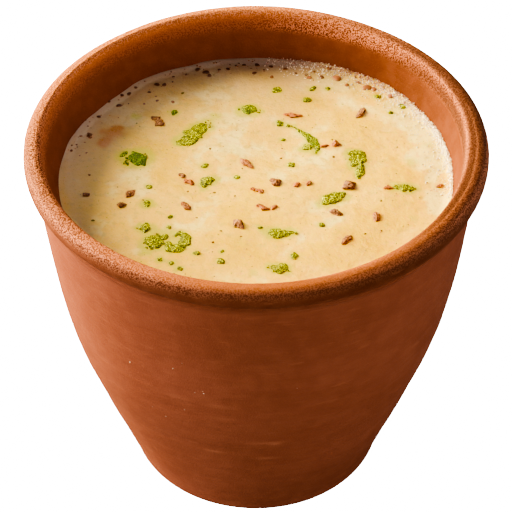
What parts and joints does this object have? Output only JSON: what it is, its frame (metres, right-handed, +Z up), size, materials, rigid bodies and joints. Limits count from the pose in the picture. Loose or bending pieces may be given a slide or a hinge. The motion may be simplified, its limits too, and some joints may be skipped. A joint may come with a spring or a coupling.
{
  "type": "clay cup of sattu drink",
  "caption": "Round handmade clay cup with a rolled rim, filled to just below the rim with a thick pale cream drink that has chopped green herb, roasted spice and froth on top.",
  "frame": {"origin": "middle of the cup's foot, on the surface it stands on", "axes": "+Z up along the cup's turning axis; the picture's viewer stands on the -Y side, with +X to the right"},
  "size_m": [0.09, 0.09, 0.0791],
  "materials": {
    "clay": "unglazed fired clay, matt and slightly sandy",
    "drink": "thick opaque cream drink with a soft wet sheen"
  },
  "bodies": {
    "root": {"cup": "clay", "drink": "drink"}
  },
  "joints": []
}
